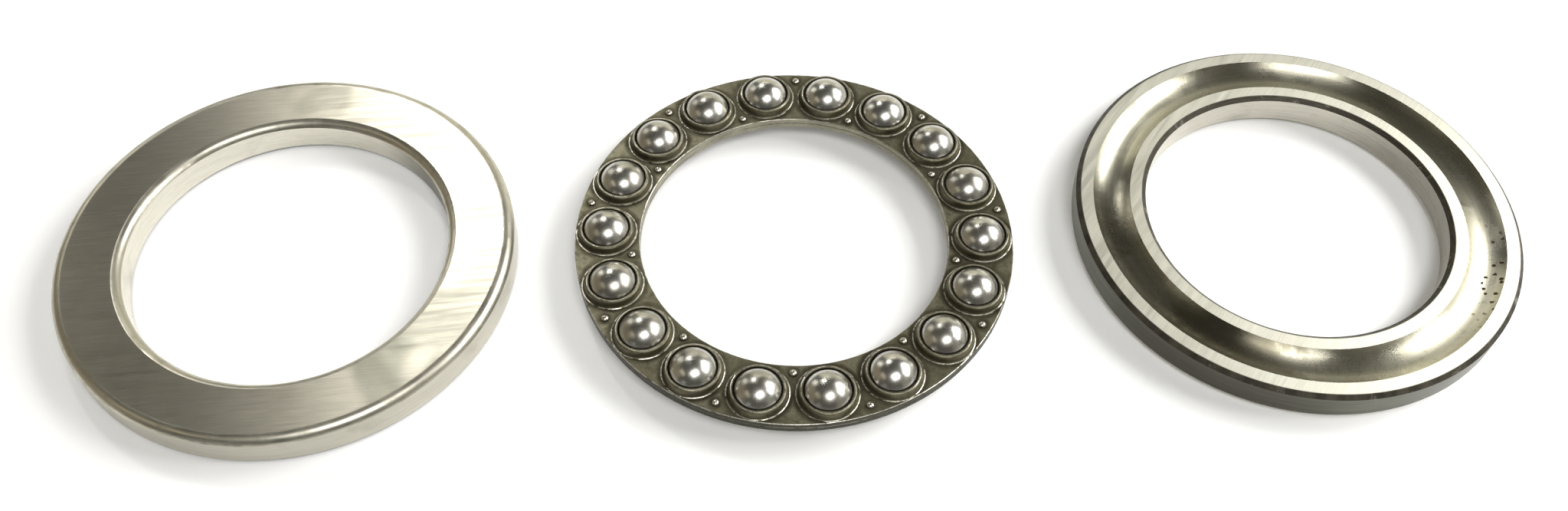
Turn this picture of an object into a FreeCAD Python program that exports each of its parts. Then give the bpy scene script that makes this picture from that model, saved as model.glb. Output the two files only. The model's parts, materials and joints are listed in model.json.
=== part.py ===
import FreeCAD, Part
import math
import os

import Sketcher
from FreeCAD import Placement, Rotation, Vector

# Single direction thrust ball bearing, 75 x 110 x 27 mm, taken apart on a bench.
# The three loose groups lie in a row along X, all of them standing on Z = 0:
#   -X  housing washer, back face up
#    0  cage with its balls, standing on the balls
#   +X  shaft washer, raceway up
# Each group has the attitude that it has in the working stack, so the bearing is
# put together by sliding the groups sideways and down, with no turning over.

# Driving dimensions in millimetres and degrees; the sheet holds them as text.
SIZES = {
    # ring sizes that both washers share
    "washer_thickness": 9.0,
    "washer_outside_radius": 55.0,
    "shaft_bore_radius": 37.5,
    "housing_bore_radius": 39.0,
    "race_side_chamfer": 1.0,
    "back_outside_corner_width": 2.5,
    "back_outside_corner_height": 1.7,
    "back_bore_corner_width": 2.0,
    "back_bore_corner_height": 1.5,
    "back_corner_curve": 2.6,
    # raceway: an arc a little flatter than the ball, as wide as the groove is at the land
    "pitch_radius": 46.2,
    "race_curve": 6.6,
    "race_half_width": 4.58,
    # balls
    "ball_count": 18,
    "ball_radius": 6.35,
    # cage plates
    "plate_thickness": 1.5,
    "plate_outside_radius": 53.9,
    "plate_bore_radius": 38.0,
    "plate_edge_round": 0.2,
    # collar round each ball, measured from the ball's axis and from the cage's middle
    "collar_foot_radius": 7.4,
    "collar_foot_curve": 0.65,
    "collar_neck_radius": 6.9,
    "collar_neck_height": 2.05,
    "collar_rim_radius": 6.75,
    "collar_rim_round": 0.5,
    "collar_rim_curve": 0.55,
    "collar_height": 3.3,
    "pocket_radius": 6.7,
    # cage rivets; the head is a cap of a sphere centred on the rivet's axis
    "rivet_hole_radius": 0.65,
    "rivet_shank_radius": 0.6,
    "rivet_head_radius": 1.08,
    "rivet_head_height": 0.72,
    "rivet_head_curve": 1.17,
    "outer_rivet_circle": 51.5,
    "inner_rivet_circle": 40.15,
    # bench layout
    "washer_spacing": 125.0,
    "washer_shift_back": 0.225,
    "cage_shift_left": 1.2,
    "cage_shift_front": 1.325,
    "cage_turn": -3.74,
}

BALL_STEP = 360.0 / SIZES["ball_count"]

doc = FreeCAD.newDocument("thrust_ball_bearing")
sheet = doc.addObject("Spreadsheet::Sheet", "Sizes")
for row, (alias, number) in enumerate(SIZES.items(), start=1):
    sheet.set(f"A{row}", alias)
    sheet.set(f"B{row}", str(number))
    sheet.setAlias(f"B{row}", alias)
doc.recompute()


# ---------------------------------------------------------------- helpers

def value_of(formula):
    """Number that a sum or difference of sheet names stands for."""
    total = 0.0
    sign = 1
    for word in formula.split():
        if word in "+-":
            sign = 1 if word == "+" else -1
        else:
            total += sign * (SIZES[word] if word in SIZES else float(word))
    return total


def sheet_formula(formula):
    """The same formula, written for a property that is bound to the sheet."""
    words = [f"Sizes.{word}" if word in SIZES else word for word in formula.split()]
    return " ".join(words)


def arc_middle(start, end, curve, side):
    """Point halfway along the arc from start to end; side is +1 left of the chord, -1 right."""
    chord = end - start
    half = chord.Length / 2
    rise = curve - math.sqrt(curve ** 2 - half ** 2)
    left = Vector(-chord.y, chord.x, 0).normalize()
    return (start + end) * 0.5 + left * (rise * side)


def origin_plane(body, role):
    """One of the body's own origin planes or axes."""
    return next(item for item in body.Origin.OriginFeatures if item.Role == role)


def add_sketch(body, name, plane="XZ_Plane"):
    """New sketch on one of the body's origin planes."""
    sketch = body.newObject("Sketcher::SketchObject", name)
    sketch.AttachmentSupport = [(origin_plane(body, plane), "")]
    sketch.MapMode = "FlatFace"
    return sketch


def end_at(sketch, edge, point):
    """Which end of a sketch edge lies at the point: 1 for its start, 2 for its end."""
    start_gap = (sketch.getPoint(edge, 1) - point).Length
    end_gap = (sketch.getPoint(edge, 2) - point).Length
    return 1 if start_gap < end_gap else 2


def bind(sketch, index, formula):
    """Ties one constraint of the sketch to the sheet."""
    sketch.setExpression(f"Constraints[{index}]", sheet_formula(formula))


def draw_outline(sketch, corners):
    """Closed outline from corners (across, up, curve, side), each a formula of sheet names.

    curve and side describe the arc that leaves that corner, and are left out where the
    edge is straight.
    """
    points = [Vector(value_of(corner[0]), value_of(corner[1]), 0) for corner in corners]
    edges = []
    for index, corner in enumerate(corners):
        start = points[index]
        end = points[(index + 1) % len(points)]
        if len(corner) == 2:
            shape = Part.LineSegment(start, end)
        else:
            middle = arc_middle(start, end, value_of(corner[2]), corner[3])
            shape = Part.Arc(start, middle, end)
        edges.append(sketch.addGeometry(shape, False))

    for index, corner in enumerate(corners):
        edge = edges[index]
        before = edges[index - 1]
        point = points[index]
        here = end_at(sketch, edge, point)
        there = end_at(sketch, before, point)
        sketch.addConstraint(Sketcher.Constraint("Coincident", before, there, edge, here))
        for direction, axis, reach, formula in (
            ("DistanceX", -2, point.x, corner[0]),
            ("DistanceY", -1, point.y, corner[1]),
        ):
            if formula == "0":
                sketch.addConstraint(Sketcher.Constraint("PointOnObject", edge, here, axis))
            else:
                number = sketch.addConstraint(
                    Sketcher.Constraint(direction, -1, 1, edge, here, reach)
                )
                bind(sketch, number, formula)
        if len(corner) > 2:
            radius = value_of(corner[2])
            number = sketch.addConstraint(Sketcher.Constraint("Radius", edge, radius))
            bind(sketch, number, corner[2])


def draw_circle(sketch, across, radius):
    """Circle on the sketch's horizontal axis."""
    centre = Vector(value_of(across), 0, 0)
    edge = sketch.addGeometry(Part.Circle(centre, Vector(0, 0, 1), value_of(radius)), False)
    sketch.addConstraint(Sketcher.Constraint("PointOnObject", edge, 3, -1))
    number = sketch.addConstraint(Sketcher.Constraint("DistanceX", -1, 1, edge, 3, centre.x))
    bind(sketch, number, across)
    number = sketch.addConstraint(Sketcher.Constraint("Radius", edge, value_of(radius)))
    bind(sketch, number, radius)


def turn_sketch(body, kind, name, sketch):
    """Revolution or Groove of a sketch about the sketch's own vertical axis."""
    feature = body.newObject(f"PartDesign::{kind}", name)
    feature.Profile = sketch
    feature.ReferenceAxis = (sketch, ["V_Axis"])
    feature.Angle = 360
    sketch.Visibility = False
    return feature


def repeat_round(body, name, features, count):
    """The features repeated evenly round the body's Z axis; count is a sheet formula."""
    pattern = body.newObject("PartDesign::PolarPattern", name)
    pattern.Originals = features
    pattern.Axis = (origin_plane(body, "Z_Axis"), [""])
    pattern.Angle = 360
    pattern.setExpression("Occurrences", sheet_formula(count))
    body.Tip = pattern
    return pattern


def turn(degrees):
    """Rotation about the vertical."""
    return Rotation(Vector(0, 0, 1), degrees)


def place(piece, base, rotation=Rotation()):
    """Puts a piece at a base given as three sheet formulas, turned by the rotation."""
    piece.Placement = Placement(Vector(0, 0, 0), rotation)
    for letter, formula in zip("xyz", base):
        if formula != "0":
            piece.setExpression(f"Placement.Base.{letter}", sheet_formula(formula))


# ---------------------------------------------------------------- washers

def make_washer(label, bore):
    """Raceway washer, standing on its back face with the raceway up."""
    outside = "washer_outside_radius"
    top = "washer_thickness"
    chamfer = "race_side_chamfer"
    body = doc.addObject("PartDesign::Body", label)
    body.Label = label
    section = add_sketch(body, f"{label}_section")
    draw_outline(section, [
        # back face, then the rounded corner to the outside wall
        (f"{bore} + back_bore_corner_width", "0"),
        (f"{outside} - back_outside_corner_width", "0", "back_corner_curve", -1),
        (outside, "back_outside_corner_height"),
        # outside wall, chamfer and outer land
        (outside, f"{top} - {chamfer}"),
        (f"{outside} - {chamfer}", top),
        # raceway groove, then the inner land and its chamfer
        ("pitch_radius + race_half_width", top, "race_curve", 1),
        ("pitch_radius - race_half_width", top),
        (f"{bore} + {chamfer}", top),
        (bore, f"{top} - {chamfer}"),
        # bore wall, then the rounded corner to the back face
        (bore, "back_bore_corner_height", "back_corner_curve", -1),
    ])
    turn_sketch(body, "Revolution", f"{label}_ring", section)
    return body


# ---------------------------------------------------------------- cage

def make_cage_plate(label):
    """Pressed cage plate, lying on the cage's middle plane with its collars up.

    A ball pocket lies on the plate's +X axis. Rivet holes alternate between the outer
    and the inner circle, halfway between the pockets.
    """
    body = doc.addObject("PartDesign::Body", label)
    body.Label = label
    inside = "plate_bore_radius"
    outside = "plate_outside_radius"
    top = "plate_thickness"
    rounding = "plate_edge_round"

    section = add_sketch(body, f"{label}_section")
    draw_outline(section, [
        (f"{inside} + {rounding}", "0"),
        (f"{outside} - {rounding}", "0", rounding, -1),
        (outside, rounding),
        (outside, f"{top} - {rounding}", rounding, -1),
        (f"{outside} - {rounding}", top),
        (f"{inside} + {rounding}", top, rounding, -1),
        (inside, f"{top} - {rounding}"),
        (inside, rounding, rounding, -1),
    ])
    turn_sketch(body, "Revolution", f"{label}_ring", section)

    collar = add_sketch(body, f"{label}_collar_section")
    collar.AttachmentOffset = Placement(Vector(SIZES["pitch_radius"], 0, 0), Rotation())
    collar.setExpression("AttachmentOffset.Base.x", "Sizes.pitch_radius")
    draw_outline(collar, [
        ("0", "plate_edge_round"),
        ("collar_foot_radius", "plate_edge_round"),
        ("collar_foot_radius", top, "collar_foot_curve", 1),
        ("collar_neck_radius", "collar_neck_height"),
        ("collar_rim_radius", "collar_height - collar_rim_round", "collar_rim_curve", -1),
        ("collar_rim_radius - collar_rim_round", "collar_height"),
        ("0", "collar_height"),
    ])
    raised = turn_sketch(body, "Revolution", f"{label}_collar", collar)

    pocket = add_sketch(body, f"{label}_pocket_section")
    pocket.AttachmentOffset = Placement(Vector(SIZES["pitch_radius"], 0, 0), Rotation())
    pocket.setExpression("AttachmentOffset.Base.x", "Sizes.pitch_radius")
    draw_outline(pocket, [
        ("0", "0"),
        ("pocket_radius", "0", "pocket_radius", -1),
        ("0", "pocket_radius"),
    ])
    hollow = turn_sketch(body, "Groove", f"{label}_pocket", pocket)
    repeat_round(body, f"{label}_pockets", [raised, hollow], "ball_count")

    for circle, side in (("outer_rivet_circle", 1), ("inner_rivet_circle", -1)):
        name = f"{label}_{circle.split('_')[0]}_rivet_hole"
        hole_sketch = add_sketch(body, f"{name}_section", "XY_Plane")
        hole_sketch.AttachmentOffset = Placement(Vector(0, 0, 0), turn(side * BALL_STEP / 2))
        draw_circle(hole_sketch, circle, "rivet_hole_radius")
        hole = body.newObject("PartDesign::Pocket", name)
        hole.Profile = hole_sketch
        hole.Type = "ThroughAll"
        hole.Midplane = True
        hole_sketch.Visibility = False
        repeat_round(body, f"{name}s", [hole], "ball_count / 2")
    return body


def make_rivets(label, circle):
    """Nine rivets on one circle, the first on +X, with the lower heads resting on Z = 0."""
    body = doc.addObject("PartDesign::Body", label)
    body.Label = label
    body.AllowCompound = True
    section = add_sketch(body, f"{label}_section")
    section.AttachmentOffset = Placement(Vector(SIZES[circle], 0, 0), Rotation())
    section.setExpression("AttachmentOffset.Base.x", f"Sizes.{circle}")
    grip = "plate_thickness"
    tip = f"{grip} + {grip} + rivet_head_height"
    draw_outline(section, [
        ("0", "0", "rivet_head_curve", -1),
        ("rivet_head_radius", "rivet_head_height"),
        ("rivet_shank_radius", "rivet_head_height"),
        ("rivet_shank_radius", tip),
        ("rivet_head_radius", tip, "rivet_head_curve", -1),
        ("0", f"{tip} + rivet_head_height"),
    ])
    rivet = turn_sketch(body, "Revolution", f"{label}_rivet", section)
    repeat_round(body, f"{label}_circle", [rivet], "ball_count / 2")
    return body


def make_ball(number):
    """Ball, centred in its pocket of the cage; ball 1 lies nearest to the cage's +X side."""
    label = f"ball_{number:02d}"
    ball = doc.addObject("Part::Sphere", label)
    ball.Label = label
    ball.setExpression("Radius", "Sizes.ball_radius")
    angle = f"( cage_turn + {(number - 1) * BALL_STEP} ) * 1deg"
    place(ball, (
        f"{CAGE_CENTRE[0]} + pitch_radius * cos( {angle} )",
        f"{CAGE_CENTRE[1]} + pitch_radius * sin( {angle} )",
        CAGE_CENTRE[2],
    ))
    return ball


# ---------------------------------------------------------------- assembly on the bench

# The cage's centre: its balls stand on the bench, so it is one ball radius up.
CAGE_CENTRE = ("- cage_shift_left", "- cage_shift_front", "ball_radius")
FLIP = Rotation(Vector(1, 0, 0), 180)

housing_washer = make_washer("housing_washer", "housing_bore_radius")
place(housing_washer, ("- washer_spacing", "washer_shift_back", "washer_thickness"), FLIP)

shaft_washer = make_washer("shaft_washer", "shaft_bore_radius")
place(shaft_washer, ("washer_spacing", "washer_shift_back", "0"))

upper_plate = make_cage_plate("cage_upper_plate")
place(upper_plate, CAGE_CENTRE, turn(SIZES["cage_turn"]))

# Turned over, the plate needs one more ball step for its rivet holes to meet the upper ones.
lower_plate = make_cage_plate("cage_lower_plate")
place(lower_plate, CAGE_CENTRE, turn(SIZES["cage_turn"] + BALL_STEP) * FLIP)

RIVET_FOOT = (
    CAGE_CENTRE[0],
    CAGE_CENTRE[1],
    "ball_radius - plate_thickness - rivet_head_height",
)
outer_rivets = make_rivets("cage_rivets_outer", "outer_rivet_circle")
place(outer_rivets, RIVET_FOOT, turn(SIZES["cage_turn"] + BALL_STEP / 2))

inner_rivets = make_rivets("cage_rivets_inner", "inner_rivet_circle")
place(inner_rivets, RIVET_FOOT, turn(SIZES["cage_turn"] - BALL_STEP / 2))

balls = [make_ball(number) for number in range(1, SIZES["ball_count"] + 1)]

pieces = [housing_washer, shaft_washer, upper_plate, lower_plate, outer_rivets, inner_rivets]
pieces += balls

doc.recompute()


# ---------------------------------------------------------------- checks and export

def check_document():
    """Stops the build if any object failed, or if a piece is empty or broken."""
    for item in doc.Objects:
        if "Invalid" in item.State or "Error" in item.State:
            raise RuntimeError(f"{item.Name} failed: {item.State}")
    for piece in pieces:
        if piece.Shape.isNull() or not piece.Shape.isValid():
            raise RuntimeError(f"{piece.Label} has no valid shape")
    for plate in (upper_plate, lower_plate):
        hollow = doc.getObject(f"{plate.Label}_pocket")
        if hollow.Shape.Volume >= hollow.BaseFeature.Shape.Volume:
            raise RuntimeError(f"{plate.Label}: the ball pocket cuts nothing")


check_document()
os.makedirs("parts", exist_ok=True)
for piece in pieces:
    piece.Shape.exportStep(f"parts/{piece.Label}.step")
    box = piece.Shape.BoundBox
    print(
        f"{piece.Label}: {len(piece.Shape.Solids)} solid(s), {piece.Shape.Volume:.1f} mm3, "
        f"X {box.XMin:.2f}..{box.XMax:.2f}  Y {box.YMin:.2f}..{box.YMax:.2f}  "
        f"Z {box.ZMin:.2f}..{box.ZMax:.2f}"
    )
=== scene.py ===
import json
import math
from collections import namedtuple

import bpy
from mathutils import Matrix, Quaternion, Vector


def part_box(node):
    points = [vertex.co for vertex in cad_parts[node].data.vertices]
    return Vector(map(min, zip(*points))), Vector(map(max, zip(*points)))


# The looks of a single direction thrust ball bearing that lies apart on a pale bench:
# housing washer (-X), cage with its balls (middle), shaft washer (+X). All the shapes are
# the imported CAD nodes; this script gives every surface its material and sets the light
# and the camera. Lengths are in metres.

MM = 0.001

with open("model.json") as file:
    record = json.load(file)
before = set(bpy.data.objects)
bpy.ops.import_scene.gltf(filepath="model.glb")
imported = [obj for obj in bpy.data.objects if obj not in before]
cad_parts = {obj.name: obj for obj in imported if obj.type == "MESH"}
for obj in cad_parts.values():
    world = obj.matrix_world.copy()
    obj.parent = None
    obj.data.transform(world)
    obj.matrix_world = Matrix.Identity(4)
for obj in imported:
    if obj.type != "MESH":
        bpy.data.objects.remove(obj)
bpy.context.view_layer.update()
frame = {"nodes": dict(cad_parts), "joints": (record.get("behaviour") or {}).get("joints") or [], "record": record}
nodes = frame["nodes"]


# ---------------------------------------------------------------- sizes read from the frame

mounts = {mount["name"]: mount for mount in frame["record"]["mounts"]}
joints = {joint["name"]: joint for joint in frame["joints"]}

HOUSING_CENTRE = Vector(mounts["housing_bore"]["pos_m"]).to_2d()
SHAFT_CENTRE = Vector(mounts["shaft_bore"]["pos_m"]).to_2d()
CAGE_CENTRE = Vector(joints["cage_orbit"]["pos_m"]).to_2d()
FIRST_BALL = Vector(joints["ball_01_roll"]["pos_m"])

HOUSING_BORE = mounts["housing_bore"]["dims"]["r_mm"] * MM
SHAFT_BORE = mounts["shaft_bore"]["dims"]["r_mm"] * MM
OUTSIDE = mounts["housing_outside"]["dims"]["r_mm"] * MM
PITCH = (FIRST_BALL.to_2d() - CAGE_CENTRE).length
CAGE_HEIGHT = FIRST_BALL.z
BALL_COUNT = sum(name.startswith("ball_") for name in nodes)
BALL_STEP = math.tau / BALL_COUNT
CAGE_TURN = math.atan2(*reversed(FIRST_BALL.to_2d() - CAGE_CENTRE))
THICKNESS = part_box("shaft_washer")[1].z

# sizes of the CAD sections that tell one zone of a surface from the next
RACE_HALF_WIDTH = 4.58 * MM
CHAMFER = 1.0 * MM
PLATE_TOP = 1.5 * MM
COLLAR_FOOT = 7.4 * MM
COLLAR_LIP = 6.25 * MM
COLLAR_TOP = 3.3 * MM
LIP_OPENING = 5.83 * MM
PLATE_OUTSIDE = 53.9 * MM
PLATE_BORE = 38.0 * MM
OUTER_RIVETS = 51.5 * MM
INNER_RIVETS = 40.15 * MM

# a washer's face is told by its distance from a plane and by how upright its normal is (0 on a wall)
NEAR = 0.05 * MM
WALL_LEVEL = 0.01
FLAT_LEVEL = 0.9999


# ---------------------------------------------------------------- shader graphs

# coordinates of a place on a ring: unit direction x and y from its axis, radius, height
Ring = namedtuple("Ring", "x y radius height")


class Graph:
    """One material's node tree, with a metallic Principled surface to feed."""

    def __init__(self, name, **uniform):
        self.material = bpy.data.materials.new(name)
        self.material.use_nodes = True
        self.tree = self.material.node_tree
        self.surface = self.tree.nodes["Principled BSDF"]
        for socket, value in uniform.items():
            self.surface.inputs[socket.replace("_", " ")].default_value = value

    def node(self, kind, inputs=(), **settings):
        """New node; inputs is a list of (socket, value or output)."""
        made = self.tree.nodes.new(kind)
        for key, value in settings.items():
            setattr(made, key, value)
        for socket, value in dict(inputs).items():
            self.feed(made.inputs[socket], value)
        return made

    def feed(self, socket, value):
        """Links an output into the socket, or sets the socket to a value."""
        if isinstance(value, bpy.types.NodeSocket):
            self.tree.links.new(value, socket)
        else:
            socket.default_value = value

    def set(self, socket, value):
        self.feed(self.surface.inputs[socket], value)

    def math(self, operation, *values, clamp=False):
        """Math node on one to three numbers."""
        made = self.node("ShaderNodeMath", enumerate(values), operation=operation)
        made.use_clamp = clamp
        return made.outputs[0]

    def vector(self, operation, *values):
        """Vector Math node's vector result."""
        made = self.node("ShaderNodeVectorMath", enumerate(values), operation=operation)
        return made.outputs["Vector"]

    def length(self, value):
        made = self.node("ShaderNodeVectorMath", [(0, value)], operation="LENGTH")
        return made.outputs["Value"]

    def combine(self, x, y, z):
        return self.node("ShaderNodeCombineXYZ", [(0, x), (1, y), (2, z)]).outputs[0]

    def set_tangent(self, x, y, z):
        """Sets the direction across an anisotropic surface's marks, which turns with its body."""
        turned = self.node("ShaderNodeVectorTransform", [("Vector", self.combine(x, y, z))],
                           vector_type="VECTOR", convert_from="OBJECT", convert_to="WORLD")
        self.set("Tangent", turned.outputs["Vector"])

    def split(self, value):
        return self.node("ShaderNodeSeparateXYZ", [(0, value)]).outputs

    def noise(self, place, scale=1.0, detail=2.0, rough=0.5, warp=0.0):
        """Noise from 0 to 1 at a place."""
        made = self.node("ShaderNodeTexNoise", [
            ("Vector", place), ("Scale", scale), ("Detail", detail),
            ("Roughness", rough), ("Distortion", warp),
        ])
        return made.outputs["Fac"]

    def spread(self, value, low, high, to_low=0.0, to_high=1.0):
        """Value from low..high brought smoothly to to_low..to_high."""
        made = self.node("ShaderNodeMapRange", [
            ("Value", value), ("From Min", low), ("From Max", high),
            ("To Min", to_low), ("To Max", to_high),
        ], interpolation_type="SMOOTHSTEP")
        return made.outputs["Result"]

    def band(self, value, middle, half, soft):
        """1 within half of the middle, down to 0 over the soft width outside it."""
        gap = self.math("ABSOLUTE", self.math("SUBTRACT", value, middle))
        return self.spread(gap, half, half + soft, 1.0, 0.0)

    def tint(self, share, first, second):
        """Colour between the first and the second."""
        made = self.node("ShaderNodeMix", data_type="RGBA")
        # by number, because the node's float, vector and colour sockets share their names
        for index, value in ((0, share), (6, first), (7, second)):
            self.feed(made.inputs[index], value)
        return made.outputs[2]

    def bump(self, height, depth, strength=1.0, under=None):
        """Normal of a surface roughened by height, depth metres for 0 to 1."""
        made = self.node("ShaderNodeBump", [
            ("Height", height), ("Distance", depth), ("Strength", strength),
        ])
        if under is not None:
            self.feed(made.inputs["Normal"], under)
        return made.outputs["Normal"]

    def place(self):
        """Place on the object in metres; it turns with the object."""
        return self.node("ShaderNodeTexCoord").outputs["Object"]

    def offset(self, centre):
        """The place's x, y and z from the foot of a ring's axis."""
        return self.split(self.vector("SUBTRACT", self.place(), (centre.x, centre.y, 0.0)))

    def round_place(self, centre):
        """Place on a ring about centre, as a Ring."""
        x, y, z = self.offset(centre)
        radius = self.length(self.combine(x, y, 0.0))
        return Ring(self.math("DIVIDE", x, radius), self.math("DIVIDE", y, radius), radius, z)

    def lathe_marks(self, ring, across, length=10.0 * MM, width=0.15 * MM, detail=3.0):
        """Fine marks that run round a ring; across is the coordinate that they repeat over."""
        turn = OUTSIDE / length
        x, y = (self.math("MULTIPLY", part, turn) for part in (ring.x, ring.y))
        return self.noise(self.combine(x, y, self.math("DIVIDE", across, width)), detail=detail)


def rgb(red, green, blue):
    return (red, green, blue, 1.0)


# ---------------------------------------------------------------- washer materials

def ground_face(name, centre, grain, first, second, rough, patches=(), rims=()):
    """Flat face off a surface grinder: fine straight marks that run along the grain angle.

    patches are painted dark reflections, places on the ring made darker: (angle, how far it reaches to each side,
    strength).
    rims are radii at which a thin dark line is painted.
    """
    graph = Graph(name, Metallic=1.0, Anisotropic=0.85)
    ring = graph.round_place(centre)
    place = graph.place()
    x, y, _ = graph.offset(centre)
    along_x, along_y = math.cos(math.radians(grain)), math.sin(math.radians(grain))
    along = graph.math("ADD", graph.math("MULTIPLY", x, along_x), graph.math("MULTIPLY", y, along_y))
    across = graph.math("SUBTRACT", graph.math("MULTIPLY", y, along_x), graph.math("MULTIPLY", x, along_y))
    fine = graph.noise(graph.combine(graph.math("DIVIDE", along, 9.0 * MM),
                                     graph.math("DIVIDE", across, 0.16 * MM), 0.0), detail=3.0)
    coarse = graph.noise(graph.combine(graph.math("DIVIDE", along, 26.0 * MM),
                                       graph.math("DIVIDE", across, 1.3 * MM), 3.0), detail=3.0)
    clouds = graph.noise(place, 34.0, 4.0, 0.6, 0.6)
    specks = graph.noise(place, 700.0, 3.0, 0.7)

    base = graph.tint(graph.spread(fine, 0.3, 0.7), first, second)
    base = graph.tint(graph.spread(coarse, 0.45, 0.75, 0.0, 0.3), base, rgb(0.4, 0.38, 0.32))
    base = graph.tint(graph.spread(clouds, 0.45, 0.8, 0.0, 0.45), base, rgb(0.3, 0.28, 0.22))
    blots = graph.noise(place, 75.0, 1.5, 0.5)
    # each patch is a painted dark reflection: the face tinted darker over a stretch of the ring
    for angle, reach, strength in patches:
        facing = facing_share(graph, ring, angle, reach, blots)
        share = graph.math("MULTIPLY", facing, graph.spread(clouds, 0.25, 0.6, 0.5 * strength, strength))
        base = graph.tint(share, base, rgb(0.15, 0.16, 0.12))
    base = graph.tint(graph.spread(specks, 0.68, 0.76, 0.0, 0.35), base, rgb(0.16, 0.14, 0.1))
    for rim in rims:
        line = graph.band(ring.radius, rim, 0.1 * MM, 0.14 * MM)
        base = graph.tint(graph.math("MULTIPLY", line, 0.85), base, rgb(0.04, 0.036, 0.025))
    graph.set("Base Color", base)
    graph.set("Roughness", graph.spread(coarse, 0.3, 0.7, rough - 0.03, rough + 0.04))
    graph.set("Normal", graph.bump(fine, 0.0016 * MM))
    graph.set_tangent(-along_y, along_x, 0.0)
    return graph.material


def facing_share(graph, ring, angle, reach, ragged=None):
    """1 in the middle of a stretch of the ring round the angle, down to 0 at its ends.

    ragged is a noise that makes the ends uneven.
    """
    raggedness = 3.5
    a, end = math.radians(angle), math.cos(math.radians(reach))
    facing = graph.math("ADD", graph.math("MULTIPLY", ring.x, math.cos(a)),
                        graph.math("MULTIPLY", ring.y, math.sin(a)))
    if ragged is not None:
        shift = graph.math("MULTIPLY", graph.math("SUBTRACT", ragged, 0.5), raggedness * (1.0 - end))
        facing = graph.math("ADD", facing, shift)
    return graph.spread(facing, end, math.cos(math.radians(reach / 5)))


def ground_wall(name, centre, first, second, rough, dull):
    """Cylindrical wall, ground round the axis, with faint stains; dull is a stretch of painted shade: (angle,
    reach, strength).
    """
    graph = Graph(name, Metallic=1.0, Anisotropic=0.5)
    ring = graph.round_place(centre)
    marks = graph.lathe_marks(ring, ring.height, 12.0 * MM, 0.14 * MM)
    place = graph.place()
    clouds = graph.noise(place, 60.0, 4.0, 0.6, 0.5)
    base = graph.tint(graph.spread(marks, 0.3, 0.7), first, second)
    base = graph.tint(graph.spread(clouds, 0.52, 0.8, 0.0, 0.4), base, rgb(0.22, 0.2, 0.16))
    # dull is painted shade: one stretch of the wall tinted dark
    angle, reach, strength = dull
    facing = facing_share(graph, ring, angle, reach)
    base = graph.tint(graph.math("MULTIPLY", facing, strength), base, rgb(0.07, 0.063, 0.05))
    graph.set("Base Color", base)
    graph.set("Roughness", graph.spread(marks, 0.3, 0.7, rough - 0.04, rough + 0.08))
    graph.set("Normal", graph.bump(marks, 0.002 * MM))
    graph.set_tangent(0.0, 0.0, 1.0)
    return graph.material


def turned_corner(name, centre):
    """Rounded corner left as turned, with a few stains."""
    graph = Graph(name, Metallic=1.0)
    ring = graph.round_place(centre)
    marks = graph.lathe_marks(ring, graph.math("ADD", ring.radius, ring.height), 30.0 * MM, 0.5 * MM, 2.0)
    stains = graph.noise(graph.place(), 180.0, 4.0, 0.6)
    base = graph.tint(graph.spread(marks, 0.3, 0.7), rgb(0.46, 0.435, 0.355), rgb(0.58, 0.555, 0.465))
    base = graph.tint(graph.spread(stains, 0.5, 0.75, 0.0, 0.5), base, rgb(0.2, 0.175, 0.12))
    graph.set("Base Color", base)
    graph.set("Roughness", graph.spread(stains, 0.35, 0.65, 0.3, 0.4))
    graph.set("Normal", graph.bump(marks, 0.001 * MM))
    return graph.material


def black_chamfer(name, centre):
    """Chamfer that still has its dark heat-treatment scale, rubbed through here and there."""
    graph = Graph(name, Metallic=0.6)
    ring = graph.round_place(centre)
    place = graph.place()
    marks = graph.lathe_marks(ring, graph.math("ADD", ring.radius, ring.height), 4.0 * MM, 0.2 * MM)
    rubbed = graph.noise(place, 220.0, 5.0, 0.7)
    base = graph.tint(graph.spread(marks, 0.3, 0.7), rgb(0.035, 0.031, 0.022), rgb(0.085, 0.075, 0.055))
    base = graph.tint(graph.spread(rubbed, 0.58, 0.7, 0.0, 0.7), base, rgb(0.3, 0.27, 0.21))
    graph.set("Base Color", base)
    graph.set("Roughness", graph.spread(rubbed, 0.4, 0.7, 0.62, 0.42))
    graph.set("Normal", graph.bump(rubbed, 0.02 * MM))
    return graph.material


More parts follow.
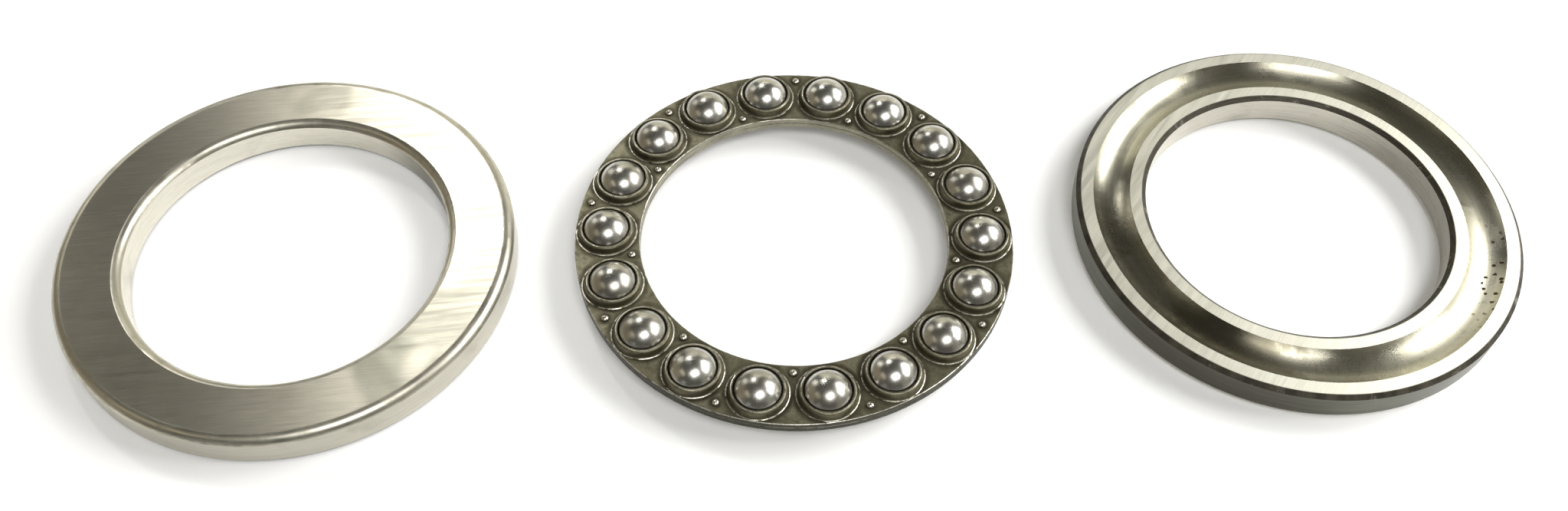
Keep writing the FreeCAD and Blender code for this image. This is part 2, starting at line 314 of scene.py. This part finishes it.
def raceway(name, centre, worn):
    """Groove polished by the balls: stained brown, with fine tracks.

    A worn one has painted shade over stretches of the groove, and pits.
    """
    graph = Graph(name, Metallic=1.0, Anisotropic=0.95)
    ring = graph.round_place(centre)
    place = graph.place()
    tracks = graph.lathe_marks(ring, ring.radius, 30.0 * MM, 0.22 * MM)
    clouds = graph.noise(place, 55.0, 6.0, 0.68, 0.8)
    mottle = graph.noise(place, 420.0, 4.0, 0.65, 0.3)
    base = graph.tint(graph.spread(tracks, 0.3, 0.7), rgb(0.42, 0.4, 0.31), rgb(0.52, 0.5, 0.4))
    base = graph.tint(graph.spread(clouds, 0.48, 0.74, 0.0, 0.6), base, rgb(0.26, 0.235, 0.16))
    base = graph.tint(graph.spread(mottle, 0.56, 0.72, 0.0, 0.35), base, rgb(0.2, 0.17, 0.12))
    rough = graph.spread(clouds, 0.35, 0.75, 0.24, 0.34)
    height = graph.math("MULTIPLY", tracks, 0.3)
    if worn:
        # painted shade: stretches of the groove tinted dark to dim the reflections there
        for angle, reach, strength in RACE_SHADE:
            facing = facing_share(graph, ring, angle, reach, clouds)
            base = graph.tint(graph.math("MULTIPLY", facing, strength), base, rgb(0.13, 0.112, 0.07))
        share = pits(graph, ring, place)
        base = graph.tint(share, base, rgb(0.06, 0.04, 0.02))
        rough = graph.math("MAXIMUM", rough, graph.math("MULTIPLY", share, 0.75))
        height = graph.math("SUBTRACT", height, graph.math("MULTIPLY", share, 12.0))
    graph.set("Base Color", base)
    graph.set("Roughness", rough)
    graph.set("Normal", graph.bump(height, 0.002 * MM))
    graph.set_tangent(ring.x, ring.y, 0.0)
    return graph.material


def pits(graph, ring, place):
    """Small rust pits, gathered in one stretch of the groove."""
    cells = graph.node("ShaderNodeTexVoronoi", [
        ("Vector", place), ("Scale", 430.0), ("Randomness", 1.0),
    ], feature="F1", voronoi_dimensions="2D")
    chosen = graph.math("GREATER_THAN", graph.split(cells.outputs["Color"])[0], 0.6)
    edge = graph.noise(place, 1800.0, 2.0)
    size = graph.math("MULTIPLY", edge, 0.36)
    spot = graph.math("LESS_THAN", cells.outputs["Distance"], size)
    stretch = graph.math("MULTIPLY", facing_share(graph, ring, *RACE_PITS),
                         graph.spread(ring.radius, PITCH - 1.0 * MM, PITCH + 0.5 * MM))
    return graph.math("MULTIPLY", graph.math("MULTIPLY", chosen, spot), stretch)


# ---------------------------------------------------------------- cage and ball materials

def cage_steel(name):
    """Dull pressed steel, olive-grey with grime; painted highlights on its edges and the collars' lips; painted
    shade in the pockets and, with grime, round the collar feet and rivets.
    """
    graph = Graph(name, Metallic=0.85)
    ring = graph.round_place(CAGE_CENTRE)
    place = graph.place()
    from_axis = nearest_axis(graph, ring, PITCH, BALL_STEP, 0.0)
    height = graph.math("ABSOLUTE", graph.math("SUBTRACT", ring.height, CAGE_HEIGHT))

    clouds = graph.noise(place, 85.0, 5.0, 0.62, 0.8)
    grain = graph.noise(place, 1100.0, 3.0, 0.65)
    base = graph.tint(graph.spread(clouds, 0.3, 0.7), rgb(0.14, 0.13, 0.081), rgb(0.26, 0.242, 0.163))
    base = graph.tint(graph.spread(grain, 0.45, 0.75, 0.0, 0.5), base, rgb(0.09, 0.083, 0.05))
    spots = graph.noise(place, 420.0, 4.0, 0.6, 0.4)
    base = graph.tint(graph.spread(spots, 0.5, 0.68, 0.0, 0.55), base, rgb(0.075, 0.066, 0.038))

    # grime and painted shade at the foot of each collar and round the rivets, and painted shade inside the pockets
    foot = graph.band(from_axis, COLLAR_FOOT + 0.2 * MM, 0.2 * MM, 1.5 * MM)
    outer = nearest_axis(graph, ring, OUTER_RIVETS, 2 * BALL_STEP, BALL_STEP / 2)
    inner = nearest_axis(graph, ring, INNER_RIVETS, 2 * BALL_STEP, -BALL_STEP / 2)
    rivet = graph.spread(graph.math("MINIMUM", outer, inner), 1.15 * MM, 2.6 * MM, 1.0, 0.0)
    patchy = graph.spread(clouds, 0.3, 0.65, 0.35, 1.0)
    base = graph.tint(graph.math("MULTIPLY", graph.math("MAXIMUM", foot, rivet), patchy),
                      base, rgb(0.055, 0.048, 0.028))
    # painted shade inside each pocket
    base = graph.tint(graph.spread(from_axis, LIP_OPENING, LIP_OPENING + 0.1 * MM, 1.0, 0.0),
                      base, rgb(0.012, 0.01, 0.006))

    # the bore is painted half bright and the outside dark
    outside = graph.spread(ring.radius, PLATE_OUTSIDE - 0.12 * MM, PLATE_OUTSIDE - 0.04 * MM)
    base = graph.tint(graph.math("MULTIPLY", outside, 0.92), base, rgb(0.045, 0.043, 0.031))
    bore = graph.spread(ring.radius, PLATE_BORE + 0.04 * MM, PLATE_BORE + 0.12 * MM, 1.0, 0.0)
    base = graph.tint(graph.math("MULTIPLY", bore, 0.4), base, rgb(0.5, 0.48, 0.39))

    # painted highlight lines, broken up by wear: the lip of each collar, its foot, and the plates' own edges
    worn = graph.noise(place, 520.0, 3.0, 0.6)
    lip = graph.math("MULTIPLY", graph.band(from_axis, COLLAR_LIP, 0.03 * MM, 0.09 * MM),
                     graph.spread(height, COLLAR_TOP - 0.2 * MM, COLLAR_TOP - 0.05 * MM))
    low = graph.spread(height, PLATE_TOP + 0.05 * MM, PLATE_TOP + 0.2 * MM, 1.0, 0.0)
    foot_line = graph.math("MULTIPLY", graph.band(from_axis, COLLAR_FOOT, 0.09 * MM, 0.09 * MM), low)
    rim = graph.math("MAXIMUM", graph.band(ring.radius, PLATE_OUTSIDE, 0.12 * MM, 0.1 * MM),
                     graph.band(ring.radius, PLATE_BORE, 0.12 * MM, 0.1 * MM))
    corner = graph.math("MAXIMUM", graph.band(height, PLATE_TOP, 0.08 * MM, 0.1 * MM),
                        graph.spread(height, 0.05 * MM, 0.15 * MM, 0.3, 0.0))
    edge = graph.math("MULTIPLY", rim, corner)
    lines = graph.math("MAXIMUM", graph.math("MAXIMUM", lip, foot_line), edge)
    # painted highlight where the lines are, broken up by the wear noise
    bright = graph.math("MULTIPLY", lines, graph.spread(worn, 0.36, 0.52))
    base = graph.tint(bright, base, rgb(0.66, 0.63, 0.54))
    graph.set("Base Color", base)
    dull = graph.spread(grain, 0.3, 0.7, 0.38, 0.5)
    graph.set("Roughness", graph.math("SUBTRACT", dull, graph.math("MULTIPLY", bright, 0.16)))
    shallow = graph.bump(grain, 0.012 * MM)
    graph.set("Normal", graph.bump(clouds, 0.06 * MM, under=shallow))
    return graph.material


def nearest_axis(graph, ring, circle, step, phase):
    """Distance from the nearest of the upright axes that stand on a circle, one every step."""
    angle = graph.math("SUBTRACT", graph.math("ARCTAN2", ring.y, ring.x), CAGE_TURN + phase)
    steps = graph.math("ROUND", graph.math("DIVIDE", angle, step))
    folded = graph.math("SUBTRACT", angle, graph.math("MULTIPLY", steps, step))
    x = graph.math("MULTIPLY", ring.radius, graph.math("COSINE", folded))
    y = graph.math("MULTIPLY", ring.radius, graph.math("SINE", folded))
    return graph.length(graph.combine(graph.math("SUBTRACT", x, circle), y, 0.0))


def rivet_steel(name):
    """Rivet heads, burnished by the set, with painted shade round the foot of each head."""
    graph = Graph(name, Metallic=0.95)
    place = graph.place()
    grain = graph.noise(place, 1500.0, 3.0, 0.6)
    height = graph.math("ABSOLUTE", graph.math("SUBTRACT", graph.split(place)[2], CAGE_HEIGHT))
    crown = graph.spread(height, PLATE_TOP + 0.1 * MM, PLATE_TOP + 0.5 * MM)
    metal = graph.tint(graph.spread(grain, 0.35, 0.7), rgb(0.6, 0.57, 0.49), rgb(0.42, 0.39, 0.31))
    # the low part of each head, next to the plate, is painted dark as shade
    graph.set("Base Color", graph.tint(crown, rgb(0.1, 0.085, 0.055), metal))
    graph.set("Roughness", graph.spread(grain, 0.3, 0.7, 0.2, 0.34))
    graph.set("Normal", graph.bump(grain, 0.006 * MM))
    return graph.material


def ball_steel(name, number):
    """Polished ball with an oily haze and hairline scratches of its own."""
    graph = Graph(name, Metallic=1.0)
    place = graph.place()
    own = graph.vector("ADD", place, (0.0, 0.0, 0.1 * number))
    haze = graph.noise(own, 150.0, 2.0, 0.5, 0.5)
    hair = graph.noise(graph.vector("MULTIPLY", own, (900.0, 5200.0, 2600.0)), 1.0, 2.0, 0.5, 1.5)
    base = graph.tint(graph.spread(haze, 0.4, 0.75), rgb(0.58, 0.565, 0.515), rgb(0.42, 0.4, 0.345))
    graph.set("Base Color", base)
    graph.set("Roughness", graph.math("ADD", graph.spread(haze, 0.3, 0.7, 0.245, 0.29),
                                      graph.spread(hair, 0.62, 0.72, 0.0, 0.015)))
    graph.set("Normal", graph.bump(hair, 0.0001 * MM))
    return graph.material


# ---------------------------------------------------------------- materials onto the CAD nodes

def dress(name, materials, zone=None):
    """Gives a node its materials; zone names the one for a face."""
    mesh = nodes[name].data
    mesh.materials.clear()
    order = list(materials)
    for key in order:
        mesh.materials.append(materials[key])
    if zone:
        for face in mesh.polygons:
            face.material_index = order.index(zone(face))


def washer_zone(centre, race_up):
    """Which surface of a washer a face belongs to."""
    def zone(face):
        radius = (face.center.to_2d() - centre).length
        above_back = face.center.z if race_up else THICKNESS - face.center.z
        level = abs(face.normal.z)
        if level < WALL_LEVEL:
            return "outside" if radius > PITCH else "bore"
        if level > FLAT_LEVEL and above_back < NEAR:
            return "back"
        if level > FLAT_LEVEL and above_back > THICKNESS - NEAR:
            return "land"
        if above_back > THICKNESS / 2 and abs(radius - PITCH) < RACE_HALF_WIDTH:
            return "race"
        return "chamfer" if above_back > THICKNESS - CHAMFER else "corner"
    return zone


def washer_materials(label, centre, bore, grain, face, land, wall, inner, patches, dull, worn):
    """The seven surfaces of one washer.

    face, land, wall and inner are pairs of metal colours; patches are the back face's painted dark reflections
    and dull holds one stretch of painted shade for each of the two walls. A worn washer has a pitted groove
    with painted shade over stretches of it.
    """
    rims = (OUTSIDE - CHAMFER, bore + CHAMFER)
    return {
        "back": ground_face(f"{label}_back_face", centre, grain, *face, 0.33, patches),
        "land": ground_face(f"{label}_land", centre, grain, *land, 0.34, rims=rims),
        "race": raceway(f"{label}_raceway", centre, worn),
        "chamfer": black_chamfer(f"{label}_chamfer", centre),
        "corner": turned_corner(f"{label}_corner", centre),
        "outside": ground_wall(f"{label}_outside_wall", centre, *wall, 0.32, dull[0]),
        "bore": ground_wall(f"{label}_bore_wall", centre, *inner, 0.3, dull[1]),
    }


WARM_GREY = (rgb(0.5, 0.465, 0.375), rgb(0.64, 0.6, 0.5))
BRIGHT = (rgb(0.54, 0.51, 0.44), rgb(0.66, 0.635, 0.56))
PALE = (rgb(0.68, 0.65, 0.56), rgb(0.78, 0.755, 0.67))
CREAM = (rgb(0.52, 0.495, 0.42), rgb(0.64, 0.615, 0.53))
LIGHT = (rgb(0.34, 0.33, 0.27), rgb(0.43, 0.42, 0.355))
DARK_GREEN = (rgb(0.11, 0.11, 0.088), rgb(0.2, 0.2, 0.165))
# stretches of a ring painted darker where the photograph shows it darker: painted shade on the grooves and walls,
# painted dark reflections on the housing washer's back face; angle, reach, strength
RACE_SHADE = ((-124.0, 26.0, 0.7), (178.0, 19.0, 0.6))
HOUSING_DARK_REFLECTIONS = ((-34.0, 20.0, 0.4), (-50.0, 14.0, 0.7), (88.0, 12.0, 0.35))
HOUSING_WALL_SHADE = ((-90.0, 40.0, 0.1), (14.0, 50.0, 0.85))
SHAFT_WALL_SHADE = ((-125.0, 40.0, 0.65), (8.0, 55.0, 0.45))
# the pitted stretch of the shaft washer's groove: angle, reach
RACE_PITS = (-26.0, 26.0)

dress("housing_washer",
      washer_materials("housing", HOUSING_CENTRE, HOUSING_BORE, 4.0, WARM_GREY, LIGHT, CREAM, PALE,
                       HOUSING_DARK_REFLECTIONS, HOUSING_WALL_SHADE, False),
      washer_zone(HOUSING_CENTRE, False))
dress("shaft_washer",
      washer_materials("shaft", SHAFT_CENTRE, SHAFT_BORE, 52.0, WARM_GREY, LIGHT, DARK_GREEN, BRIGHT,
                       (), SHAFT_WALL_SHADE, True),
      washer_zone(SHAFT_CENTRE, True))

cage_material = cage_steel("cage_pressed_steel")
rivet_material = rivet_steel("cage_rivet_steel")
for plate in ("cage_upper_plate", "cage_lower_plate"):
    dress(plate, {"all": cage_material})
for rivets in ("cage_rivets_outer", "cage_rivets_inner"):
    dress(rivets, {"all": rivet_material})
for number in range(1, BALL_COUNT + 1):
    dress(f"ball_{number:02d}", {"all": ball_steel(f"ball_{number:02d}_steel", number)})


# ---------------------------------------------------------------- bench, light and camera

def bench():
    """Plain pale floor under the bearing, much larger than the view."""
    reach = 9.0
    mesh = bpy.data.meshes.new("bench")
    corners = [(-reach, -reach, 0), (reach, -reach, 0), (reach, reach, 0), (-reach, reach, 0)]
    mesh.from_pydata(corners, [], [(0, 1, 2, 3)])
    floor = bpy.data.objects.new("bench", mesh)
    bpy.context.scene.collection.objects.link(floor)
    graph = Graph("bench_white", Metallic=0.0, Roughness=0.7)
    place = graph.place()
    # the lamps leave the far floor dark, so it glows to stay as pale as the near floor
    graph.set("Emission Strength", graph.spread(graph.length(place), 0.7, 2.4, 0.12, 0.85))
    cloud = graph.noise(place, 6.0, 3.0)
    graph.set("Base Color", graph.tint(cloud, rgb(0.9, 0.9, 0.89), rgb(0.93, 0.93, 0.92)))
    graph.set("Emission Color", rgb(1.0, 1.0, 1.0))
    mesh.materials.append(graph.material)


def direction(azimuth, elevation):
    """Unit vector: azimuth in degrees from +X towards +Y, elevation above the bench."""
    a, e = math.radians(azimuth), math.radians(elevation)
    return Vector((math.cos(a) * math.cos(e), math.sin(a) * math.cos(e), math.sin(e)))


def softbox(name, azimuth, elevation, width, height, radiance, colour=(1.0, 1.0, 1.0), tilt=0.0,
            aim=(0.0, 0.0), spread=180.0):
    """Rectangular light over the bench; width, height and tilt are degrees seen from the place it faces.

    A spread under 180 degrees is a grid over the light that keeps it on the part it faces.
    """
    distance = 1.6
    lamp = bpy.data.lights.new(name, "AREA")
    lamp.shape = "RECTANGLE"
    lamp.size = 2 * distance * math.tan(math.radians(width / 2))
    lamp.size_y = 2 * distance * math.tan(math.radians(height / 2))
    lamp.spread = math.radians(spread)
    half = lamp.spread / 2
    gathered = math.tan(half) / (math.tan(half) - half) if spread < 180.0 else 1.0
    lamp.energy = radiance * lamp.size * lamp.size_y * math.pi / gathered
    lamp.color = colour
    place = direction(azimuth, elevation)
    holder = bpy.data.objects.new(name, lamp)
    holder.location = Vector((*aim, 0.0)) + place * distance
    turn = place.to_track_quat("Z", "Y") @ Quaternion((0.0, 0.0, 1.0), math.radians(tilt))
    holder.rotation_euler = turn.to_euler()
    bpy.context.scene.collection.objects.link(holder)


def room(colour, strength):
    """Even, dim light of the room round the bench, and a pale backdrop that only the camera sees."""
    world = bpy.data.worlds.new("room")
    world.use_nodes = True
    tree = world.node_tree
    light = tree.nodes["Background"]
    light.inputs["Color"].default_value = colour
    light.inputs["Strength"].default_value = strength
    backdrop = tree.nodes.new("ShaderNodeBackground")
    backdrop.inputs["Color"].default_value = rgb(0.87, 0.87, 0.86)
    either = tree.nodes.new("ShaderNodeMixShader")
    rays = tree.nodes.new("ShaderNodeLightPath")
    tree.links.new(rays.outputs["Is Camera Ray"], either.inputs[0])
    tree.links.new(light.outputs[0], either.inputs[1])
    tree.links.new(backdrop.outputs[0], either.inputs[2])
    tree.links.new(either.outputs[0], tree.nodes["World Output"].inputs["Surface"])
    bpy.context.scene.world = world


def camera():
    """Camera at the front, looking steeply down, a little right of straight ahead."""
    eye = Vector((-19.38, -216.435, 289.8)) * MM
    heading = math.radians(4.208)
    down = math.radians(55.223)
    roll = math.radians(1.347)
    ahead = Vector((math.sin(heading) * math.cos(down), math.cos(heading) * math.cos(down), -math.sin(down)))
    level = Vector((math.cos(heading), -math.sin(heading), 0))
    above = level.cross(ahead)
    right = level * math.cos(roll) + above * math.sin(roll)
    up = right.cross(ahead)
    data = bpy.data.cameras.new("view")
    data.sensor_width = 36.0
    data.lens = 33.026
    data.shift_x = 0.0005
    data.shift_y = 0.0293
    data.clip_start = 0.01
    data.clip_end = 20.0
    holder = bpy.data.objects.new("view", data)
    turn = Matrix((right, up, -ahead)).transposed().to_4x4()
    holder.matrix_world = Matrix.Translation(eye) @ turn
    bpy.context.scene.collection.objects.link(holder)
    bpy.context.scene.camera = holder


camera()
bench()
room(rgb(1.0, 0.98, 0.85), 0.08)
softbox("front_window", -74, 61, 25, 20, 8.5, tilt=12)
softbox("front_window_left", -110, 59, 19, 20, 8.5, aim=CAGE_CENTRE, spread=8.0)
softbox("right_window_near", -4, 38, 13, 22, 12.0, tilt=-17)
softbox("right_window_far", 22, 37, 21, 25, 12.0, tilt=-17)
softbox("right_wall", 25, 8, 70, 18, 0.45, (1.0, 0.98, 0.88))
softbox("front_right_wall", -38, 18, 32, 36, 0.22, (1.0, 0.95, 0.8))
softbox("far_wall", 78, 12, 55, 34, 0.75, (1.0, 0.97, 0.78))
softbox("far_lamp", 88, 31, 21, 9, 1.4, (1.0, 0.98, 0.86))
softbox("far_left_lamp", 103, 45.5, 9, 13, 32.0, aim=HOUSING_CENTRE, spread=16.0)
softbox("far_left_glow", 113, 51, 6, 16, 3.5, (1.0, 0.98, 0.9), tilt=-30, aim=HOUSING_CENTRE, spread=16.0)
softbox("left_window", 134, 24, 27, 14, 1.5, (1.0, 0.99, 0.93), tilt=73)
softbox("left_wall", 172, 18, 60, 36, 0.22, (1.0, 0.82, 0.55))
softbox("left_shelf", -160, 42, 26, 12, 0.8, (1.0, 0.93, 0.75))
softbox("front_left_door", -130, 15, 13, 8, 0.6)

bpy.context.scene.view_settings.view_transform = "Standard"
